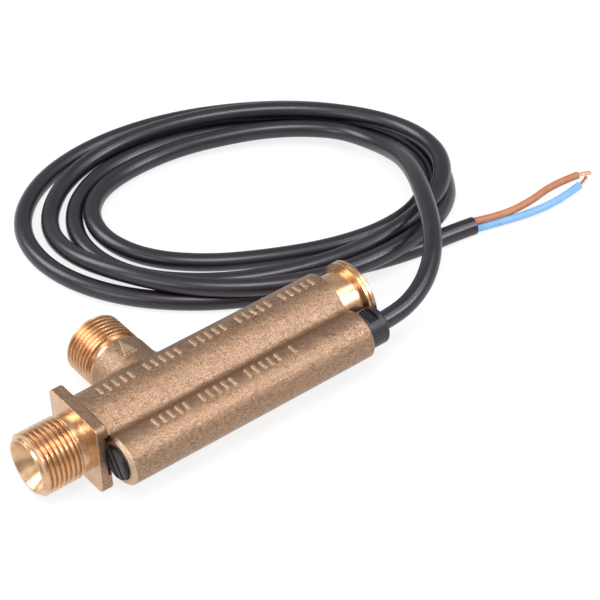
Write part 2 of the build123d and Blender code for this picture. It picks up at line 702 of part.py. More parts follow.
def cord(name, points, diameter):
    """A round cord along straight runs joined by tangent arcs."""
    path = FilletPolyline(*points, radius=bend_radii(name, points))
    section = Plane(origin=path @ 0, z_dir=path % 0) * Circle(diameter / 2)
    solid = sweep(section, path=path)
    expected = pi * diameter ** 2 / 4 * path.length
    print(name, "length", round(path.length, 1), "volume share", round(solid.volume / expected, 4))
    return solid


def cable_lead():
    """The cable from the gland, over the coil's near side and down onto its far side."""
    gland_face = (GLAND_END, REED_OFFSET_Y, REED_OFFSET_Z)
    return cord("cable_lead", [gland_face] + LEAD_ROUTE, CABLE_DIAMETER)


def cable_tail():
    """The cable from the coil to its stripped end."""
    return cord("cable_tail", TAIL_ROUTE, CABLE_DIAMETER)


def oval(reach):
    """An oval of four quarter ellipses, each side at its own reach from the centre."""
    sides = ["right", "far", "left", "near", "right"]
    quarters = []
    for index, (first, second) in enumerate(zip(sides, sides[1:])):
        quarter = EllipticalCenterArc((0, 0), reach[first], reach[second], arc_size=QUARTER_TURN)
        quarters.append(Rot(0, 0, index * QUARTER_TURN) * quarter)
    return make_face(quarters)


def cable_coil():
    """The outer shape of the cable's loose coil."""
    outer = extrude(oval(COIL_OUTSIDE), amount=COIL_HEIGHT)
    inner = extrude(oval(COIL_INSIDE), amount=COIL_HEIGHT)
    coil = outer - inner
    coil = fillet(coil.edges().filter_by_position(Axis.Z, 0, 0), COIL_EDGE)
    coil = fillet(coil.edges().filter_by_position(Axis.Z, COIL_HEIGHT, COIL_HEIGHT), COIL_EDGE)
    return Pos(COIL_CENTRE[0], COIL_CENTRE[1], TABLE) * Rot(0, 0, COIL_TURN) * coil


def brown_core():
    """The brown core beyond the sheath."""
    return cord("brown_core", BROWN_ROUTE, CORE_DIAMETER)


def blue_core():
    """The blue core beyond the sheath."""
    return cord("blue_core", BLUE_ROUTE, CORE_DIAMETER)


def bare_end(route):
    """The bare copper beyond a core's insulation, in line with its last run."""
    before = Vector(*route[-2])
    end = Vector(*route[-1])
    section = Plane(origin=end, z_dir=(end - before).normalized()) * Circle(STRAND_DIAMETER / 2)
    return extrude(section, amount=STRAND_LENGTH)


def brown_strands():
    """The brown core's bare copper."""
    return bare_end(BROWN_ROUTE)


def blue_strands():
    """The blue core's bare copper."""
    return bare_end(BLUE_ROUTE)


PIECES = [
    valve_body, end_cap, cap_o_ring, piston, piston_seal, piston_magnet, magnet_washers, piston_nut,
    spring_seat, return_spring, reed_carrier, reed_blades, reed_glass, brown_crimp, blue_crimp,
    inner_brown_core, inner_blue_core, reed_potting, blanking_plug, plug_o_ring, cable_gland,
    gland_o_ring, gland_wedge, sheath_stub, cable_lead, cable_coil, cable_tail, brown_core, blue_core,
    brown_strands, blue_strands]

for piece in PIECES:
    export_step(piece(), os.path.join("parts", piece.__name__ + ".step"))
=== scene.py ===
from math import cos, pi, radians, sin

import bmesh
import bpy
from mathutils import Matrix, Vector


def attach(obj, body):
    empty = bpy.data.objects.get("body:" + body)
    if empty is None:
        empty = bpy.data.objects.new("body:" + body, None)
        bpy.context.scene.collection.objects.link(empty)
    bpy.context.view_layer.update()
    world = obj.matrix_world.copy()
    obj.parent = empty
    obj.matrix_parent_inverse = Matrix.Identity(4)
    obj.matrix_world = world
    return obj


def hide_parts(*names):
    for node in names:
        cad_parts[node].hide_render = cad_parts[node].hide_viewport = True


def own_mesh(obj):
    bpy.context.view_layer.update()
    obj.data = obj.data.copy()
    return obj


# Looks of a brass flow switch with its cable, in metres, in the CAD's frame.

# The photograph's viewpoint
CAMERA_TARGET = Vector((0.055, 0.0, 0.0))
CAMERA_AZIMUTH = radians(-36.455)
CAMERA_ELEVATION = radians(39.889)
CAMERA_ROLL = radians(-2.123)
CAMERA_ASIDE = 0.021621
CAMERA_BELOW = 0.017184
CAMERA_DISTANCE = 0.57535
CAMERA_SENSOR = 36.0
CAMERA_LENS = 138.676

# Casting and ports, as the CAD has them
TABLE = -0.0102
FLANGE_FACE = 0.01406
FLANGE_BACK = 0.01735
BARREL_END = 0.0906
MAIN_RADIUS = 0.01015
OUTLET_PLACE = 0.03766
OUTLET_ROOT_END = 0.0158
REED_Y = -0.0135
REED_Z = 0.0008
REED_RADIUS = 0.00645
OUTLET_ROOT_RADIUS = 0.0085
MAIN_MARKS_Y = 0.0015
MARK_PROUD = 0.00012
MARK_HALF_WIDTH = 0.0019
CHAMBER_REACH = 0.0075
REED_BORE_REACH = 0.0045
REED_BARREL_START = 0.0174
REED_EDGE_END = 0.0184
OUTLET_BORE_REACH = 0.0046
WELD_DISTANCE = 0.000001

# Cable and cores
CABLE_DIAMETER = 0.005
CORE_DIAMETER = 0.0021
WIRE_DIAMETER = 0.00034
WIRES_ROUND_ONE = 6
WIRE_TWIST = 0.45
WIRE_FRAY = 0.35
BARE_LENGTH = 0.0044
GLAND_FACE = (0.0970, REED_Y, REED_Z)
LEAD_ROUTE = [
    GLAND_FACE,
    (0.1028, -0.0135, 0.0008),
    (0.1096, -0.0125, 0.0019),
    (0.1167, -0.0095, 0.0037),
    (0.1234, -0.0040, 0.0057),
    (0.1296, 0.0042, 0.0070),
    (0.1348, 0.0131, 0.0069),
    (0.1402, 0.0226, 0.0054),
    (0.1454, 0.0332, 0.0025),
    (0.1490, 0.0440, -0.0015),
    (0.1497, 0.0545, -0.0043),
    (0.1472, 0.0640, -0.0051),
    (0.1410, 0.0713, -0.0053),
    (0.1336, 0.0773, -0.0055),
]
TAIL_ROUTE = [
    (0.0845, 0.0222, -0.0077),
    (0.0930, 0.0190, -0.0077),
    (0.1020, 0.0180, -0.0077),
    (0.1120, 0.0170, -0.0077),
    (0.1220, 0.0136, -0.0077),
    (0.1324, 0.0114, -0.0077),
    (0.1420, 0.0107, -0.0077),
    (0.1493, 0.0094, -0.0077),
]
BROWN_ROUTE = [
    (0.1490, 0.0102, -0.0068),
    (0.1572, 0.0077, -0.0074),
    (0.1668, 0.0064, -0.0066),
    (0.1769, 0.0079, -0.0062),
    (0.1856, 0.0072, -0.0068),
]
BLUE_ROUTE = [
    (0.1490, 0.0091, -0.0087),
    (0.1570, 0.0066, -0.0085),
    (0.1654, 0.0043, -0.0084),
    (0.1754, 0.0034, -0.0083),
    (0.1842, 0.0049, -0.0084),
]

# The loose coil: an oval that its turns stray from. Eight stations to a turn, from the right over
# the far side, the left and the near side: metres outside the oval, and height in cable diameters
COIL_CENTRE = Vector((0.1110, 0.0565, TABLE))
COIL_TURN = radians(-28.5)
COIL_HALF_LENGTH = 0.050
COIL_HALF_WIDTH = 0.034
COIL_STEP = pi / 4
COIL_FIRST_STATION = 2
COIL_STATIONS = [
    (-0.0047, 0.9), (-0.0039, 0.6),
    (-0.0033, 0.8), (-0.0037, 0.7), (-0.0073, 0.6), (-0.0052, 0.5),
    (-0.0012, 0.5), (0.0012, 0.5), (0.0005, 0.5), (0.0018, 0.5),
    (0.0017, 0.5), (0.0040, 0.5), (0.0025, 0.9), (0.0030, 1.7),
    (0.0025, 1.9), (0.0017, 1.6), (0.0019, 1.5), (0.0063, 1.0),
    (0.0088, 0.5), (0.0085, 1.4), (0.0108, 1.5), (0.0076, 1.5),
    (0.0032, 0.5), (0.0088, 0.5), (0.0098, 0.5), (0.0134, 0.5),
    (0.0165, 0.5), (0.0131, 0.5), (0.0080, 0.5),
]

# Brass colours: cast skin and bright turned metal
SKIN_DARK = (0.18, 0.106, 0.066, 1.0)
SKIN_LIGHT = (0.50, 0.32, 0.205, 1.0)
SKIN_CLOUD = (0.36, 0.22, 0.14, 1.0)
# Painted shade laid into the casting's hollows
SKIN_HOLLOW_SHADE = (0.08, 0.042, 0.026, 1.0)
# Pale colour: wear on the casting's edges, and a painted highlight on its ticks, its arrow and the reed
# barrel's shoulder
SKIN_WEAR_AND_HIGHLIGHT = (0.76, 0.55, 0.39, 1.0)
# Share of the pale colour on the ticks and the arrow: part wear, part painted highlight
RAISED_WEAR_AND_HIGHLIGHT = 0.5
# Share of the painted highlight on the reed barrel's shoulder
SHOULDER_HIGHLIGHT = 0.55
BRIGHT_DARK = (0.58, 0.335, 0.18, 1.0)
BRIGHT_LIGHT = (0.74, 0.47, 0.27, 1.0)
CLOUD_SHARE = 0.3
# How dark the painted shade in the hollows gets
HOLLOW_SHADE_SHARE = 0.55
BRIGHT_COAT = 0.6
BRIGHT_COAT_ROUGHNESS = 0.2
SKIN_COAT = 0.22
SKIN_COAT_ROUGHNESS = 0.35

# Cable sheath: near black, with a faint violet sheen
SHEATH_DARK = (0.0065, 0.0055, 0.0075, 1.0)
SHEATH_LIGHT = (0.0105, 0.009, 0.012, 1.0)
SHEATH_SHEEN = (0.93, 0.88, 1.0, 1.0)
SHEATH_GLOSS = 0.7
SHEATH_GRAIN_DEPTH = 0.000004

# Brass grain: scales in features to a metre, sizes and depths in metres
SKIN_GRAIN_SCALE = 3600.0
SKIN_CLOUD_SCALE = 260.0
SKIN_BLOTCH = 0.0011
BLOTCH_SHARE = 0.35
BLOTCH_RELIEF = 1.4
CLOUD_RELIEF = 2.2
SKIN_RELIEF = 0.00016
SKIN_ROUNDING = 0.0003
BRIGHT_ROUNDING = 0.0001
# Reach of the ambient occlusion that places the painted shade
HOLLOW_SHADE_REACH = 0.004
CUT_SLACK = 0.00005
TURNING_SCALE = 9000.0
TURNING_DEPTH = 0.000004
TURNING_STRENGTH = 0.6
SMUDGE_SIZE = 0.0035

# Studio
FLOOR_HALF_SIZE = 4.0
PAPER_SHARE = 0.82
SKY_STRENGTH = 0.5

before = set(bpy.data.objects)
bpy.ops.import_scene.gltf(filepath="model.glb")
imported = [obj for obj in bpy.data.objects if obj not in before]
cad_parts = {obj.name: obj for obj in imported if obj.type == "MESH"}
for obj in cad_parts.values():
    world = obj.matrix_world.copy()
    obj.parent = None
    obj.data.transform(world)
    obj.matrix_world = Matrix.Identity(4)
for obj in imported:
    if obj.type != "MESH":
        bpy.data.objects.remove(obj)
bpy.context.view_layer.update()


# Camera

def aim_camera():
    """Places the camera where the photograph was taken from."""
    right = Vector((cos(CAMERA_AZIMUTH), sin(CAMERA_AZIMUTH), 0.0))
    back = Vector((
        sin(CAMERA_AZIMUTH) * cos(CAMERA_ELEVATION),
        -cos(CAMERA_AZIMUTH) * cos(CAMERA_ELEVATION),
        sin(CAMERA_ELEVATION)))
    up = back.cross(right)
    across = cos(CAMERA_ROLL) * right + sin(CAMERA_ROLL) * up
    upward = cos(CAMERA_ROLL) * up - sin(CAMERA_ROLL) * right
    place = CAMERA_TARGET + CAMERA_ASIDE * across + CAMERA_BELOW * upward + CAMERA_DISTANCE * back
    camera = bpy.data.objects.new("camera", bpy.data.cameras.new("camera"))
    camera.data.sensor_width = CAMERA_SENSOR
    camera.data.lens = CAMERA_LENS
    turn = Matrix((across, upward, back)).transposed().to_4x4()
    camera.matrix_world = Matrix.Translation(place) @ turn
    bpy.context.scene.collection.objects.link(camera)
    bpy.context.scene.camera = camera


# Cable and cores

def spline_piece(name, routes, diameter, rides="switch"):
    """A round piece along one smooth spline for each route. Its points hold its true radius."""
    curve = bpy.data.curves.new(name, "CURVE")
    curve.dimensions = "3D"
    curve.bevel_depth = 1.0
    curve.bevel_resolution = 6
    curve.resolution_u = 8
    curve.use_fill_caps = True
    for route in routes:
        spline = curve.splines.new("NURBS")
        spline.points.add(len(route) - 1)
        for point, place in zip(spline.points, route):
            point.co = (*place, 1.0)
            point.radius = diameter / 2
        spline.order_u = 3
        spline.use_endpoint_u = True
    piece = bpy.data.objects.new(name, curve)
    bpy.context.scene.collection.objects.link(piece)
    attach(piece, rides)
    return piece


def between(before, here, there, after):
    """The value half way between two stations, on a smooth line through four."""
    return (9 * (here + there) - before - after) / 16


def on_oval(station, stray, height):
    """A place on the coil: at a station, so far outside the oval, so high above the table."""
    angle = station * COIL_STEP
    flat = Vector((
        (COIL_HALF_LENGTH + stray) * cos(angle), (COIL_HALF_WIDTH + stray) * sin(angle),
        height * CABLE_DIAMETER))
    return COIL_CENTRE + Matrix.Rotation(COIL_TURN, 4, "Z") @ flat


def coil_points():
    """Points round the coil: one at each station and one half way to the next."""
    strays = [stray for stray, height in COIL_STATIONS]
    strays = [strays[0]] + strays + [strays[-1]]
    points = []
    for index, (here, there) in enumerate(zip(COIL_STATIONS, COIL_STATIONS[1:])):
        station = COIL_FIRST_STATION + index
        points.append(on_oval(station, *here))
        height = (here[1] + there[1]) / 2
        points.append(on_oval(station + 0.5, between(*strays[index:index + 4]), height))
    last_station = COIL_FIRST_STATION + len(COIL_STATIONS) - 1
    return points + [on_oval(last_station, *COIL_STATIONS[-1])]


def bare_wires(name, route, lean):
    """The core's bare copper: one fine wire with six twisted round it, bent a little at the tip."""
    end = Vector(route[-1])
    ahead = (end - Vector(route[-2])).normalized()
    aside = ahead.cross(Vector((0, 0, 1))).normalized()
    above = aside.cross(ahead)
    sunk = CORE_DIAMETER / 8
    steps = 8
    routes = []
    for wire in range(WIRES_ROUND_ONE + 1):
        ring = 0.0 if wire == WIRES_ROUND_ONE else WIRE_DIAMETER
        points = []
        for step in range(steps + 1):
            share = step / steps
            angle = 2 * pi * (wire / WIRES_ROUND_ONE + share * WIRE_TWIST)
            spread = ring * (1 + WIRE_FRAY * share * share)
            bend = Vector(lean) * share * share
            centre = end + ahead * (share * BARE_LENGTH - sunk) + bend
            points.append(centre + spread * (cos(angle) * aside + sin(angle) * above))
        routes.append(points)
    piece = spline_piece(name, routes, WIRE_DIAMETER)
    piece.data.bevel_resolution = 2
    piece.data.resolution_u = 2
    return piece


def make_cords():
    """The cable from the gland to its cut end, and the two cores beyond it."""
    cable = spline_piece("cable", [LEAD_ROUTE + coil_points() + TAIL_ROUTE], CABLE_DIAMETER)
    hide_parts("cable_lead", "cable_coil", "cable_tail")

    brown_wires = bare_wires("brown_wires", BROWN_ROUTE, (0.0, -0.0006, -0.0003))
    blue_wires = bare_wires("blue_wires", BLUE_ROUTE, (0.0, 0.0008, 0.0002))
    brown = spline_piece("brown_lead", [BROWN_ROUTE], CORE_DIAMETER)
    blue = spline_piece("blue_lead", [BLUE_ROUTE], CORE_DIAMETER)
    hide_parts("brown_strands")
    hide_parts("blue_strands")
    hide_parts("brown_core")
    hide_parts("blue_core")


# Node building

class Nodes:
    """Adds nodes to one material or group, and links what they are given."""

    def __init__(self, tree):
        self.tree = tree

    def feed(self, socket, value):
        """Links a socket to another, or sets its value."""
        if isinstance(value, bpy.types.NodeSocket):
            self.tree.links.new(value, socket)
        else:
            socket.default_value = value

    def add(self, kind, inputs=None, **settings):
        """A node of one kind, with its settings and inputs."""
        node = self.tree.nodes.new(kind)
        for name, value in settings.items():
            setattr(node, name, value)
        for name, value in (inputs or {}).items():
            self.feed(node.inputs[name], value)
        return node

    def math(self, operation, first, second=0.0):
        """One sum on one or two values."""
        node = self.add("ShaderNodeMath", {0: first, 1: second}, operation=operation)
        return node.outputs[0]

    def span(self, value, low, high, start=0.0, end=1.0):
        """A value that goes smoothly from start to end as another goes from low to high."""
        node = self.add(
            "ShaderNodeMapRange",
            {"Value": value, "From Min": low, "From Max": high, "To Min": start, "To Max": end},
            interpolation_type="SMOOTHSTEP")
        return node.outputs["Result"]

    def blend(self, share, first, second, way="MIX"):
        """A colour between two, or one laid on the other."""
        node = self.add("ShaderNodeMix", {0: share, 6: first, 7: second}, data_type="RGBA", blend_type=way)
        return node.outputs[2]

    def mix(self, share, first, second):
        """A value between two."""
        return self.add("ShaderNodeMix", {0: share, 2: first, 3: second}, data_type="FLOAT").outputs[0]

    def noise(self, place, size, detail=2.0, roughness=0.5):
        """Soft noise with features of about one size."""
        node = self.add(
            "ShaderNodeTexNoise",
            {"Vector": place, "Scale": 1 / size, "Detail": detail, "Roughness": roughness})
        return node.outputs[0]

    def bump(self, height, depth, strength=1.0, normal=None):
        """A normal tilted by a height pattern, depth metres high."""
        inputs = {"Height": height, "Distance": depth, "Strength": strength}
        if normal is not None:
            inputs["Normal"] = normal
        return self.add("ShaderNodeBump", inputs).outputs["Normal"]

    def group(self, tree, inputs):
        """A node group placed here with its own values."""
        node = self.tree.nodes.new("ShaderNodeGroup")
        node.node_tree = tree
        for name, value in inputs.items():
            self.feed(node.inputs[name], value)
        return node


def new_group(name, inputs, outputs):
    """An empty node group with named sockets: its nodes, its input node and its output node."""
    tree = bpy.data.node_groups.new(name, "ShaderNodeTree")
    for socket, kind in inputs:
        tree.interface.new_socket(socket, in_out="INPUT", socket_type=kind)
    for socket, kind in outputs:
        tree.interface.new_socket(socket, in_out="OUTPUT", socket_type=kind)
    nodes = Nodes(tree)
    return tree, nodes, nodes.add("NodeGroupInput"), nodes.add("NodeGroupOutput")


def grain_group():
    """Fine grain and broad cloudiness from one place."""
    tree, nodes, given, result = new_group(
        "grain",
        [("Place", "NodeSocketVector"), ("Fine", "NodeSocketFloat"), ("Broad", "NodeSocketFloat")],
        [("Grain", "NodeSocketFloat"), ("Clouds", "NodeSocketFloat")])
    fine = nodes.add("ShaderNodeTexNoise", {
        "Vector": given.outputs["Place"], "Scale": given.outputs["Fine"], "Detail": 3.0, "Roughness": 0.6})
    broad = nodes.add("ShaderNodeTexNoise", {
        "Vector": given.outputs["Place"], "Scale": given.outputs["Broad"], "Detail": 2.0})
    nodes.feed(result.inputs["Grain"], fine.outputs[0])
    nodes.feed(result.inputs["Clouds"], broad.outputs[0])
    return tree


def turning_group():
    """Fine rings that a lathe leaves, from the distance along a turned outline."""
    tree, nodes, given, result = new_group(
        "turning_marks",
        [("Outline", "NodeSocketFloat"), ("Place", "NodeSocketVector")],
        [("Rings", "NodeSocketFloat"), ("Smudge", "NodeSocketFloat")])
    rings = nodes.add("ShaderNodeTexNoise", {
        "W": given.outputs["Outline"], "Scale": TURNING_SCALE, "Detail": 2.0, "Roughness": 0.7},
        noise_dimensions="1D")
    smudge = nodes.noise(given.outputs["Place"], SMUDGE_SIZE, 4.0, 0.6)
    nodes.feed(result.inputs["Rings"], rings.outputs[0])
    nodes.feed(result.inputs["Smudge"], smudge)
    return tree


def wear_group():
    """Where edges stick out, from the difference between the true and the rounded normal."""
    tree, nodes, given, result = new_group(
        "edge_wear",
        [("Normal", "NodeSocketVector"), ("Rounded", "NodeSocketVector"), ("Grain", "NodeSocketFloat")],
        [("Wear", "NodeSocketFloat")])
    same = nodes.add(
        "ShaderNodeVectorMath", {0: given.outputs["Normal"], 1: given.outputs["Rounded"]},
        operation="DOT_PRODUCT").outputs["Value"]
    apart = nodes.math("SUBTRACT", 1.0, same)
    broken = nodes.math("MULTIPLY", apart, nodes.span(given.outputs["Grain"], 0.3, 0.7, 0.5, 1.5))
    nodes.feed(result.inputs["Wear"], nodes.span(broken, 0.004, 0.09))
    return tree


GRAIN = grain_group()
TURNING = turning_group()
WEAR = wear_group()


def new_material(name):
    """An empty node material: the material, its nodes, the place on the object and the shader."""
    material = bpy.data.materials.new(name)
    material.use_nodes = True
    material.node_tree.nodes.clear()
    nodes = Nodes(material.node_tree)
    place = nodes.add("ShaderNodeTexCoord").outputs["Object"]
    shader = nodes.add("ShaderNodeBsdfPrincipled")
    output = nodes.add("ShaderNodeOutputMaterial")
    nodes.feed(output.inputs["Surface"], shader.outputs["BSDF"])
    return material, nodes, place, shader


def plain_finish(name, dark, light, gloss, metallic=0.0, fine=0.0003, broad=0.004, depth=0.00001):
    """A finish that varies a little between two tones and two roughnesses, with a fine relief."""
    material, nodes, place, shader = new_material(name)
    grain = nodes.group(GRAIN, {"Place": place, "Fine": 1 / fine, "Broad": 1 / broad})
    mixed = nodes.math("ADD", grain.outputs["Grain"], grain.outputs["Clouds"])
    share = nodes.span(mixed, 0.75, 1.25)
    nodes.feed(shader.inputs["Base Color"], nodes.blend(share, (*dark, 1.0), (*light, 1.0)))
    nodes.feed(shader.inputs["Roughness"], nodes.span(mixed, 0.7, 1.3, gloss[0], gloss[1]))
    nodes.feed(shader.inputs["Normal"], nodes.bump(grain.outputs["Grain"], depth))
    shader.inputs["Metallic"].default_value = metallic
    return material


def distance_from(nodes, first, second):
    """How far a point is from an axis, from its two offsets."""
    first_square = nodes.math("MULTIPLY", first, first)
    second_square = nodes.math("MULTIPLY", second, second)
    return nodes.math("SQRT", nodes.math("ADD", first_square, second_square))


def stretch(nodes, along, start, end):
    """1 between two places along an axis, else 0."""
    past_start = nodes.math("GREATER_THAN", along, start)
    return nodes.math("MULTIPLY", past_start, nodes.math("LESS_THAN", along, end))


def bore(nodes, from_axis, reach, along, start, end):
    """1 within a reach of an axis and between two places along it, else 0."""
    near = nodes.math("LESS_THAN", from_axis, reach)
    return nodes.math("MULTIPLY", near, stretch(nodes, along, start, end))


def raised_marks(nodes, from_axis, radius, aside, upward):
    """1 on the marks that stand proud along the top of a round surface, else 0."""
    proud = nodes.math("GREATER_THAN", from_axis, radius + MARK_PROUD)
    in_line = nodes.math("LESS_THAN", nodes.math("ABSOLUTE", aside), MARK_HALF_WIDTH)
    on_top = nodes.math("GREATER_THAN", upward, 0.0)
    return nodes.math("MULTIPLY", proud, nodes.math("MULTIPLY", in_line, on_top))


def casting_places(nodes, place):
    """Where a point of the casting is, and how far it is from the axes of the casting's three bores."""
    axes = nodes.add("ShaderNodeSeparateXYZ", {"Vector": place})
    along = axes.outputs["X"]
    across = axes.outputs["Y"]
    upward = axes.outputs["Z"]
    reed_y = nodes.math("SUBTRACT", across, REED_Y)
    reed_z = nodes.math("SUBTRACT", upward, REED_Z)
    outlet_x = nodes.math("SUBTRACT", along, OUTLET_PLACE)
    return {
        "along": along,
        "across": across,
        "upward": upward,
        "reed_y": reed_y,
        "reed_z": reed_z,
        "outlet_x": outlet_x,
        "from_main": distance_from(nodes, across, upward),
        "from_reed": distance_from(nodes, reed_y, reed_z),
        "from_outlet": distance_from(nodes, outlet_x, upward),
        "outlet_port": nodes.math("GREATER_THAN", across, OUTLET_ROOT_END - CUT_SLACK),
    }


def machined_zones(nodes, at):
    """1 where the casting is machined bright, at its ports, its neck and in its bores, else 0."""
    cut = at["outlet_port"]
    for zone in (
            nodes.math("LESS_THAN", at["along"], FLANGE_FACE + CUT_SLACK),
            nodes.math("GREATER_THAN", at["along"], BARREL_END + CUT_SLACK),
            nodes.math("LESS_THAN", at["from_main"], CHAMBER_REACH),
            bore(nodes, at["from_reed"], REED_BORE_REACH, at["along"], REED_BARREL_START, BARREL_END),
            bore(nodes, at["from_outlet"], OUTLET_BORE_REACH, at["across"], 0.0, OUTLET_ROOT_END)):
        cut = nodes.math("MAXIMUM", cut, zone)
    return cut


def raised_zones(nodes, at):
    """1 on the ticks and the arrow that stand proud of the skin, else 0."""
    main_aside = nodes.math("SUBTRACT", at["across"], MAIN_MARKS_Y)
    ticks = nodes.math(
        "MAXIMUM",
        raised_marks(nodes, at["from_main"], MAIN_RADIUS, main_aside, at["upward"]),
        raised_marks(nodes, at["from_reed"], REED_RADIUS, at["reed_y"], at["reed_z"]))
    behind_flange = nodes.math("GREATER_THAN", at["along"], FLANGE_BACK)
    arrow = nodes.math(
        "MULTIPLY",
        stretch(nodes, at["across"], MAIN_RADIUS, OUTLET_ROOT_END),
        raised_marks(nodes, at["from_outlet"], OUTLET_ROOT_RADIUS, at["outlet_x"], at["upward"]))
    return nodes.math("MAXIMUM", nodes.math("MULTIPLY", behind_flange, ticks), arrow)


def reed_shoulder(nodes, at):
    """1 on the shoulder at the left end of the reed barrel, else 0."""
    round_bore = nodes.math("GREATER_THAN", at["from_reed"], REED_BORE_REACH)
    on_barrel = nodes.math("LESS_THAN", at["from_reed"], REED_RADIUS + MARK_PROUD)
    ring = nodes.math("MULTIPLY", round_bore, on_barrel)
    return nodes.math("MULTIPLY", ring, stretch(nodes, at["along"], REED_BARREL_START, REED_EDGE_END))


def skin_colour(nodes, tone, clouds, hollow_shade, wear_and_highlight):
    """Sandy skin in two tones with clouds, with painted shade in the hollows, and pale where the brass
    shows wear or carries a painted highlight.
    """
    skin = nodes.blend(nodes.span(tone, 0.48, 0.86), SKIN_DARK, SKIN_LIGHT)
    cloudy = nodes.math("MULTIPLY", nodes.span(clouds, 0.35, 0.65), CLOUD_SHARE)
    skin = nodes.blend(cloudy, skin, SKIN_CLOUD)
    # Painted shade: darker where ambient occlusion finds hollows
    skin = nodes.blend(nodes.span(hollow_shade, 0.35, 0.85, HOLLOW_SHADE_SHARE, 0.0), skin, SKIN_HOLLOW_SHADE)
    # Pale where the brass shows wear, and where a highlight is painted
    return nodes.blend(wear_and_highlight, skin, SKIN_WEAR_AND_HIGHLIGHT)


def turned_outline(nodes, at):
    """The distance along a turned outline: round the outlet at its port, round the main bore elsewhere."""
    round_main = nodes.math("ADD", at["along"], at["from_main"])
    round_outlet = nodes.math("ADD", at["across"], at["from_outlet"])
    return nodes.mix(at["outlet_port"], round_main, round_outlet)


def cast_brass():
    """The casting: sandy skin with wear on its edges, pale wear and a painted highlight on its ticks and
    arrow, a painted highlight on the reed barrel's shoulder, painted shade in its hollows, and bright
    turned metal at the machined ends.
    """
    material, nodes, place, shader = new_material("cast_brass")
    at = casting_places(nodes, place)
    cut = machined_zones(nodes, at)
    normal = nodes.add("ShaderNodeNewGeometry").outputs["Normal"]
    rounded = nodes.add("ShaderNodeBevel", {"Radius": SKIN_ROUNDING}, samples=6).outputs["Normal"]
    grain = nodes.group(GRAIN, {"Place": place, "Fine": SKIN_GRAIN_SCALE, "Broad": SKIN_CLOUD_SCALE})
    blotches = nodes.noise(place, SKIN_BLOTCH, 3.0, 0.6)
    # Ambient occlusion, which places the painted shade in the hollows
    hollow_shade = nodes.add("ShaderNodeAmbientOcclusion", {"Distance": HOLLOW_SHADE_REACH}, samples=8).outputs["AO"]

    edges = nodes.group(WEAR, {"Normal": normal, "Rounded": rounded, "Grain": grain.outputs["Grain"]})
    # Pale ticks and arrow: part wear, part painted highlight
    marks = nodes.math("MULTIPLY", raised_zones(nodes, at), RAISED_WEAR_AND_HIGHLIGHT)
    # Painted highlight on the reed barrel's shoulder
    shoulder = nodes.math("MULTIPLY", reed_shoulder(nodes, at), SHOULDER_HIGHLIGHT)
    wear_and_highlight = nodes.math("MAXIMUM", edges.outputs["Wear"], nodes.math("MAXIMUM", marks, shoulder))
    tone = nodes.math("ADD", grain.outputs["Grain"], nodes.math("MULTIPLY", blotches, BLOTCH_SHARE))
    skin = skin_colour(nodes, tone, grain.outputs["Clouds"], hollow_shade, wear_and_highlight)

    turning = nodes.group(TURNING, {"Outline": turned_outline(nodes, at), "Place": place})
    smudge = turning.outputs["Smudge"]
    bright = nodes.blend(nodes.span(smudge, 0.3, 0.7), BRIGHT_DARK, BRIGHT_LIGHT)
    nodes.feed(shader.inputs["Base Color"], nodes.blend(cut, skin, bright))
    skin_roughness = nodes.span(tone, 0.45, 0.9, 0.48, 0.32)
    bright_roughness = nodes.span(smudge, 0.3, 0.7, 0.25, 0.34)
    nodes.feed(shader.inputs["Roughness"], nodes.mix(cut, skin_roughness, bright_roughness))

    relief = nodes.math("ADD", grain.outputs["Grain"], nodes.math("MULTIPLY", blotches, BLOTCH_RELIEF))
    relief = nodes.math("ADD", relief, nodes.math("MULTIPLY", grain.outputs["Clouds"], CLOUD_RELIEF))
    rough = nodes.math("MULTIPLY", relief, nodes.math("SUBTRACT", 1.0, cut))
    skin_normal = nodes.bump(rough, SKIN_RELIEF, 0.85, rounded)
    rings = nodes.math("MULTIPLY", turning.outputs["Rings"], cut)
    nodes.feed(shader.inputs["Normal"], nodes.bump(rings, TURNING_DEPTH, TURNING_STRENGTH, skin_normal))
    coat_roughness = nodes.span(cut, 0.0, 1.0, SKIN_COAT_ROUGHNESS, BRIGHT_COAT_ROUGHNESS)
    nodes.feed(shader.inputs["Coat Weight"], nodes.span(cut, 0.0, 1.0, SKIN_COAT, BRIGHT_COAT))
    nodes.feed(shader.inputs["Coat Roughness"], coat_roughness)
    shader.inputs["Metallic"].default_value = 1.0
    return material


def machined_brass():
    """Bright turned brass."""
    material, nodes, place, shader = new_material("machined_brass")
    axes = nodes.add("ShaderNodeSeparateXYZ", {"Vector": place})
    from_axis = distance_from(nodes, axes.outputs["Y"], axes.outputs["Z"])
    outline = nodes.math("ADD", axes.outputs["X"], from_axis)
    turning = nodes.group(TURNING, {"Outline": outline, "Place": place})
    smudge = turning.outputs["Smudge"]
    colour = nodes.blend(nodes.span(smudge, 0.3, 0.7), BRIGHT_DARK, BRIGHT_LIGHT)
    rounded = nodes.add("ShaderNodeBevel", {"Radius": BRIGHT_ROUNDING}, samples=4).outputs["Normal"]
    ringed = nodes.bump(turning.outputs["Rings"], TURNING_DEPTH, TURNING_STRENGTH, rounded)
    nodes.feed(shader.inputs["Base Color"], colour)
    nodes.feed(shader.inputs["Roughness"], nodes.span(smudge, 0.3, 0.7, 0.26, 0.34))
    nodes.feed(shader.inputs["Normal"], ringed)
    shader.inputs["Coat Weight"].default_value = BRIGHT_COAT
    shader.inputs["Coat Roughness"].default_value = BRIGHT_COAT_ROUGHNESS
    shader.inputs["Metallic"].default_value = 1.0
    return material


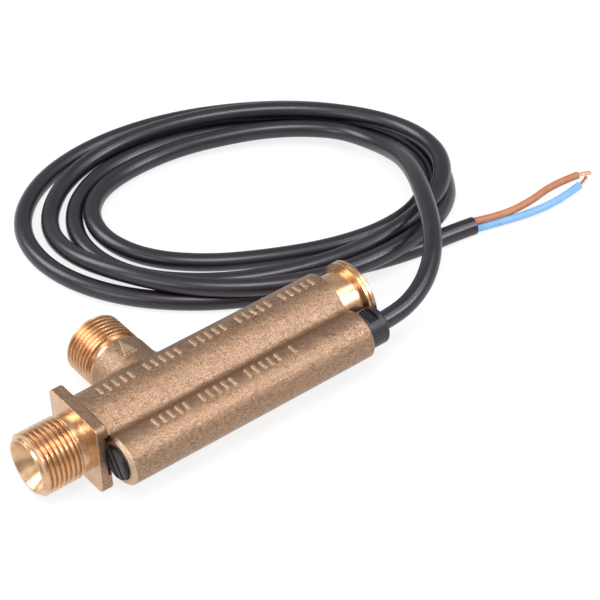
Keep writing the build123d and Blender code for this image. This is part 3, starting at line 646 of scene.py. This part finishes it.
def cable_sheath():
    """Soft black sheath with a faint dusty bloom and a fine drawn grain."""
    material, nodes, place, shader = new_material("cable_sheath")
    grain = nodes.group(GRAIN, {"Place": place, "Fine": 3500.0, "Broad": 90.0})
    bloom = nodes.span(grain.outputs["Clouds"], 0.35, 0.7)
    nodes.feed(shader.inputs["Base Color"], nodes.blend(bloom, SHEATH_DARK, SHEATH_LIGHT))
    nodes.feed(shader.inputs["Roughness"], nodes.span(grain.outputs["Grain"], 0.3, 0.7, 0.30, 0.36))
    shader.inputs["Specular IOR Level"].default_value = SHEATH_GLOSS
    shader.inputs["Specular Tint"].default_value = SHEATH_SHEEN
    nodes.feed(shader.inputs["Normal"], nodes.bump(grain.outputs["Grain"], SHEATH_GRAIN_DEPTH))
    return material


def clear_glass():
    """The reed capsule's clear glass, with faint cords in it."""
    material, nodes, place, shader = new_material("clear_glass")
    nodes.feed(
        shader.inputs["Base Color"],
        nodes.blend(nodes.noise(place, 0.002), (0.90, 0.97, 0.93, 1.0), (0.95, 0.99, 0.97, 1.0)))
    nodes.feed(shader.inputs["Roughness"], nodes.span(nodes.noise(place, 0.001), 0.3, 0.7, 0.02, 0.05))
    shader.inputs["Transmission Weight"].default_value = 1.0
    return material


def dress(material, *names):
    """Gives a finish to CAD nodes or new pieces."""
    for name in names:
        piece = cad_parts.get(name) or bpy.data.objects[name]
        if piece.material_slots:
            for place in piece.material_slots:
                place.material = material
        else:
            piece.data.materials.append(material)


def dress_everything():
    """One finish for every piece, by what it is made of."""
    dress(cast_brass(), "valve_body")
    dress(machined_brass(), "end_cap")
    dress(cable_sheath(), "cable", "sheath_stub")
    dress(clear_glass(), "reed_glass")
    steel = plain_finish(
        "stainless_steel", (0.50, 0.50, 0.50), (0.62, 0.61, 0.60), gloss=(0.18, 0.3), metallic=1.0)
    dress(steel, "piston", "magnet_washers", "piston_nut", "spring_turns", "spring_seat")
    magnet = plain_finish("magnet", (0.30, 0.30, 0.31), (0.42, 0.42, 0.43), gloss=(0.25, 0.4), metallic=1.0)
    dress(magnet, "piston_magnet")
    rubber = plain_finish("seal_rubber", (0.012, 0.012, 0.013), (0.03, 0.03, 0.03), gloss=(0.5, 0.7))
    dress(rubber, "piston_seal", "cap_o_ring", "plug_o_ring", "gland_o_ring")
    black = plain_finish(
        "black_plastic", (0.009, 0.0075, 0.0105), (0.018, 0.015, 0.021), gloss=(0.36, 0.5), depth=0.00002)
    dress(black, "blanking_plug", "cable_gland", "gland_wedge")
    carrier = plain_finish("carrier_plastic", (0.70, 0.68, 0.62), (0.78, 0.76, 0.70), gloss=(0.35, 0.5))
    dress(carrier, "reed_carrier")
    nickel = plain_finish(
        "nickel_iron", (0.45, 0.43, 0.40), (0.55, 0.53, 0.50), gloss=(0.2, 0.35), metallic=1.0)
    dress(nickel, "reed_blades")
    tinned = plain_finish(
        "tinned_copper", (0.55, 0.54, 0.52), (0.68, 0.67, 0.65), gloss=(0.25, 0.4), metallic=1.0)
    dress(tinned, "brown_crimp", "blue_crimp")
    resin = plain_finish("potting_resin", (0.02, 0.02, 0.022), (0.04, 0.04, 0.045), gloss=(0.2, 0.35))
    dress(resin, "reed_potting")
    brown = plain_finish("brown_insulation", (0.38, 0.14, 0.068), (0.46, 0.18, 0.088), gloss=(0.38, 0.5))
    dress(brown, "brown_lead", "inner_brown_core")
    blue = plain_finish("blue_insulation", (0.155, 0.35, 0.62), (0.195, 0.40, 0.68), gloss=(0.38, 0.5))
    dress(blue, "blue_lead", "inner_blue_core")
    copper = plain_finish(
        "bare_copper", (0.80, 0.40, 0.26), (0.92, 0.54, 0.38), gloss=(0.2, 0.35), metallic=1.0)
    dress(copper, "brown_wires", "blue_wires")


# Spring

def make_spring():
    """The return spring, as a welded copy with a mesh of its own that rides with the switch."""
    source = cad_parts["return_spring"]
    mesh = source.data.copy()
    form = bmesh.new()
    form.from_mesh(mesh)
    bmesh.ops.remove_doubles(form, verts=form.verts, dist=WELD_DISTANCE)
    form.to_mesh(mesh)
    form.free()
    spring = bpy.data.objects.new("spring_turns", mesh)
    bpy.context.scene.collection.objects.link(spring)
    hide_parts("return_spring")
    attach(spring, "switch")
    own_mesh(spring)


# Studio

def paper_floor():
    """White paper: it keeps the shadow, and looks white to the camera and in reflections."""
    material = bpy.data.materials.new("paper")
    material.use_nodes = True
    material.node_tree.nodes.clear()
    nodes = Nodes(material.node_tree)
    paper = nodes.add("ShaderNodeBsdfDiffuse", {"Color": (0.93, 0.93, 0.93, 1.0)})
    light = nodes.add("ShaderNodeEmission", {"Color": (1.0, 1.0, 1.0, 1.0), "Strength": 1.0})
    path = nodes.add("ShaderNodeLightPath")
    seen = nodes.math("MAXIMUM", path.outputs["Is Camera Ray"], path.outputs["Is Glossy Ray"])
    seen = nodes.math("MAXIMUM", seen, path.outputs["Is Transmission Ray"])
    share = nodes.math("MULTIPLY", seen, PAPER_SHARE)
    mix = nodes.add("ShaderNodeMixShader", {0: share, 1: paper.outputs[0], 2: light.outputs[0]})
    nodes.add("ShaderNodeOutputMaterial", {"Surface": mix.outputs[0]})
    return material


def softbox(name, direction, distance, size, power):
    """A square soft light that looks at the switch from one direction."""
    lamp = bpy.data.lights.new(name, "AREA")
    lamp.size = size
    lamp.energy = power
    place = Vector(direction).normalized() * distance
    holder = bpy.data.objects.new(name, lamp)
    turn = place.to_track_quat("Z", "Y").to_matrix().to_4x4()
    holder.matrix_world = Matrix.Translation(CAMERA_TARGET + place) @ turn
    bpy.context.scene.collection.objects.link(holder)


def make_studio():
    """Floor, world and soft lights."""
    form = bmesh.new()
    bmesh.ops.create_grid(form, x_segments=1, y_segments=1, size=FLOOR_HALF_SIZE)
    bmesh.ops.translate(form, verts=form.verts, vec=(0, 0, TABLE))
    mesh = bpy.data.meshes.new("floor")
    form.to_mesh(mesh)
    form.free()
    floor = bpy.data.objects.new("floor", mesh)
    mesh.materials.append(paper_floor())
    bpy.context.scene.collection.objects.link(floor)

    world = bpy.data.worlds.new("studio")
    bpy.context.scene.world = world
    world.use_nodes = True
    sky = world.node_tree.nodes["Background"]
    sky.inputs["Color"].default_value = (1.0, 1.0, 1.0, 1.0)
    sky.inputs["Strength"].default_value = SKY_STRENGTH
    softbox("left_light", (-0.9, -0.1, 0.45), distance=1.0, size=0.45, power=2.3)
    softbox("right_light", (0.46, -0.62, 0.64), distance=1.0, size=0.3, power=4.0)
    softbox("upper_light", (0.46, -0.2, 0.87), distance=1.0, size=0.2, power=1.2)
    softbox("back_light", (-0.46, 0.62, 0.64), distance=1.0, size=0.5, power=5.5)
    softbox("top_light", (-0.22, -0.28, 0.93), distance=1.1, size=0.4, power=5.5)
    bpy.context.scene.view_settings.view_transform = "Standard"


aim_camera()
make_cords()
make_studio()
make_spring()
dress_everything()
